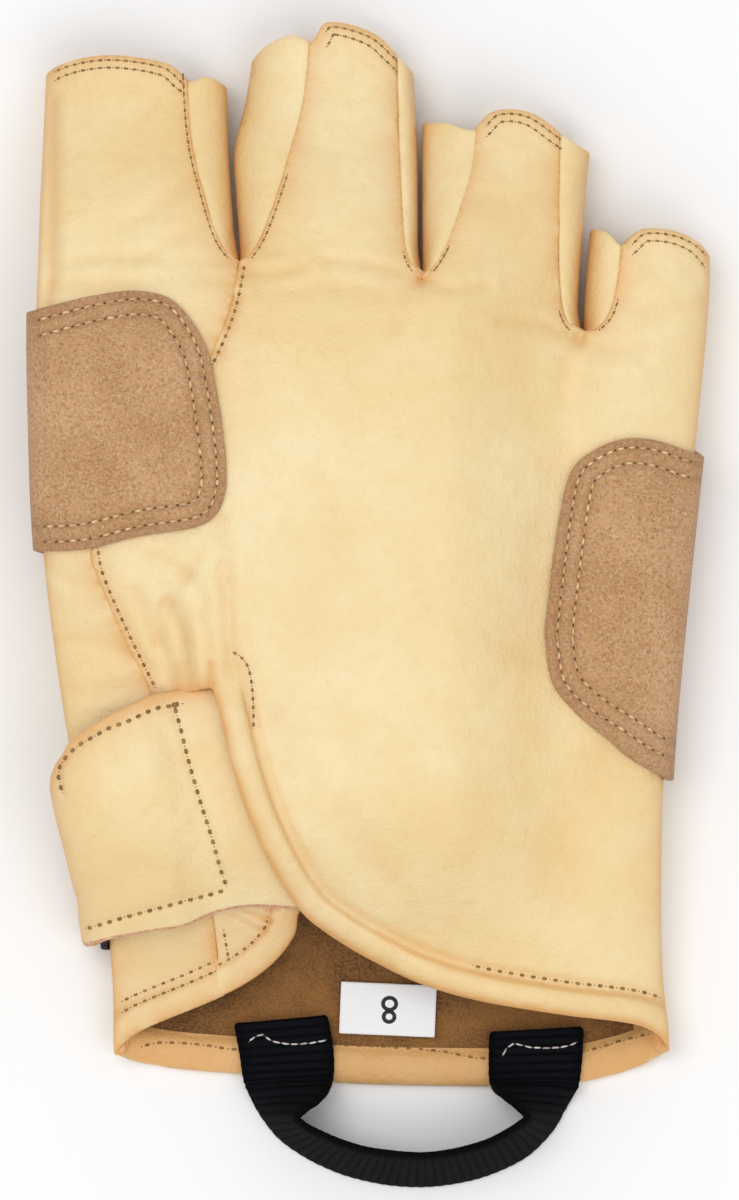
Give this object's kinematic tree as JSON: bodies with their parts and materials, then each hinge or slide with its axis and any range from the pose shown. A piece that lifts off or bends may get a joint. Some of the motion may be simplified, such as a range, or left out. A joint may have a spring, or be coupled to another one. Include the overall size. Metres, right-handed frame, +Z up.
{
  "type": "half-finger leather climbing glove",
  "caption": "Half-finger leather glove for rope work, with suede palm guard, hook-and-loop wrist strap and webbing pull loop at the cuff.",
  "frame": {"origin": "middle of the box round the glove, at the surface that it lies on", "axes": "+Y from the cuff to the fingertips, +X from the index finger to the little finger, +Z up from the palm to the back of the hand"},
  "size_m": [0.1144, 0.1966, 0.0325],
  "materials": {
    "grain_leather": "smooth cream full-grain leather, satin",
    "suede": "brushed tan suede, matt",
    "black_tape": "black hook-and-loop tape",
    "black_webbing": "black ribbed polyester webbing",
    "white_tag": "white satin tag"
  },
  "bodies": {
    "root": {"back_panel": "grain_leather", "index_panel": "grain_leather", "palm_panel": "grain_leather", "cuff_tongue": "grain_leather", "thumb_stall": "grain_leather", "gusset_index_middle": "grain_leather", "gusset_middle_ring": "grain_leather", "gusset_ring_little": "grain_leather", "wrist_strap": "grain_leather", "suede_guard": "suede", "loop_tape": "black_tape", "hook_tape": "black_tape", "pull_loop": "black_webbing", "size_label": "white_tag"}
  },
  "joints": []
}
